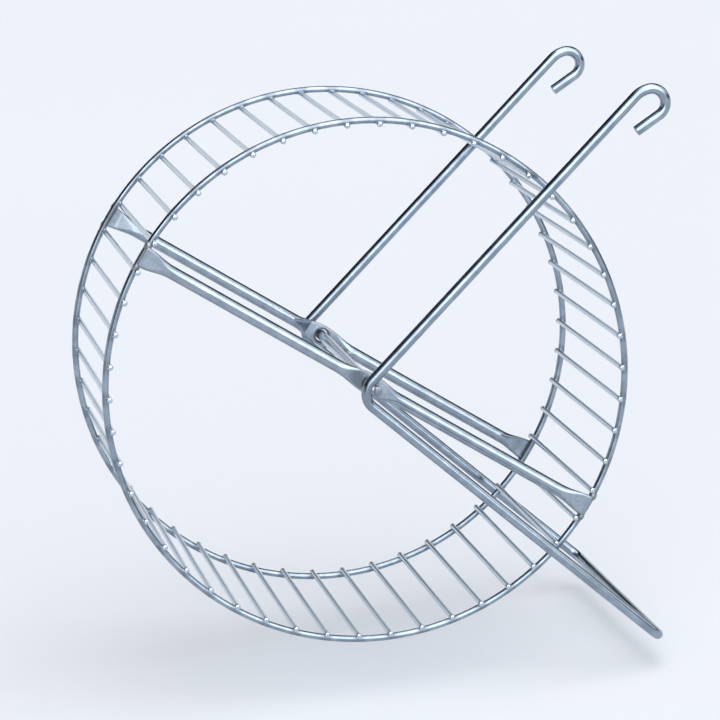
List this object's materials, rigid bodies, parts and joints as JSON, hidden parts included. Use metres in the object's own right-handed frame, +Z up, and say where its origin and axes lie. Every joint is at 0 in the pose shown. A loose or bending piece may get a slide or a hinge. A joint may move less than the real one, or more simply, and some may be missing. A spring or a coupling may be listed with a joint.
{
  "type": "rodent exercise wheel",
  "caption": "Welded wire running wheel for a small rodent, turning on a fixed axle in a bent wire stand that hangs on a cage wall by two hooks.",
  "frame": {"origin": "middle of the line through the two hook bends, where the top of the cage bar lies", "axes": "+X towards the cage wall and away from the wheel, +Y along the axle and the cage bar, +Z up"},
  "size_m": [0.2174, 0.1274, 0.2138],
  "materials": {
    "zinc_wire": "bright zinc-plated drawn steel wire, cool bluish grey",
    "zinc_tube": "bright zinc-plated steel tube pressed flat at its ends and middle",
    "weld_bead": "zinc-plated spot of weld metal, duller than the wire"
  },
  "bodies": {
    "stand": {"stand_wire": "zinc_wire", "axle": "zinc_wire", "front_axle_weld": "weld_bead", "rear_axle_weld": "weld_bead"},
    "wheel": {"front_ring": "zinc_wire", "rear_ring": "zinc_wire", "front_spoke": "zinc_tube", "rear_spoke": "zinc_tube", "rung_01": "zinc_wire", "rung_02": "zinc_wire", "rung_03": "zinc_wire", "rung_04": "zinc_wire", "rung_05": "zinc_wire", "rung_06": "zinc_wire", "rung_07": "zinc_wire", "rung_08": "zinc_wire", "rung_09": "zinc_wire", "rung_10": "zinc_wire", "rung_11": "zinc_wire", "rung_12": "zinc_wire", "rung_13": "zinc_wire", "rung_14": "zinc_wire", "rung_15": "zinc_wire", "rung_16": "zinc_wire", "rung_17": "zinc_wire", "rung_18": "zinc_wire", "rung_19": "zinc_wire", "rung_20": "zinc_wire", "rung_21": "zinc_wire", "rung_22": "zinc_wire", "rung_23": "zinc_wire", "rung_24": "zinc_wire", "rung_25": "zinc_wire", "rung_26": "zinc_wire", "rung_27": "zinc_wire", "rung_28": "zinc_wire", "rung_29": "zinc_wire", "rung_30": "zinc_wire", "rung_31": "zinc_wire", "rung_32": "zinc_wire", "rung_33": "zinc_wire", "rung_34": "zinc_wire", "rung_35": "zinc_wire", "rung_36": "zinc_wire", "rung_37": "zinc_wire", "rung_38": "zinc_wire", "rung_39": "zinc_wire", "rung_40": "zinc_wire", "rung_41": "zinc_wire", "rung_42": "zinc_wire", "rung_43": "zinc_wire", "rung_44": "zinc_wire", "rung_45": "zinc_wire", "rung_46": "zinc_wire", "rung_47": "zinc_wire", "rung_48": "zinc_wire", "rung_49": "zinc_wire", "rung_50": "zinc_wire"}
  },
  "joints": [
    {"name": "wheel_spin", "type": "hinge", "parent": "stand", "child": "wheel", "pos_m": [-0.11, 0, -0.09713], "axis": [0, 1, 0], "continuous": true}
  ]
}
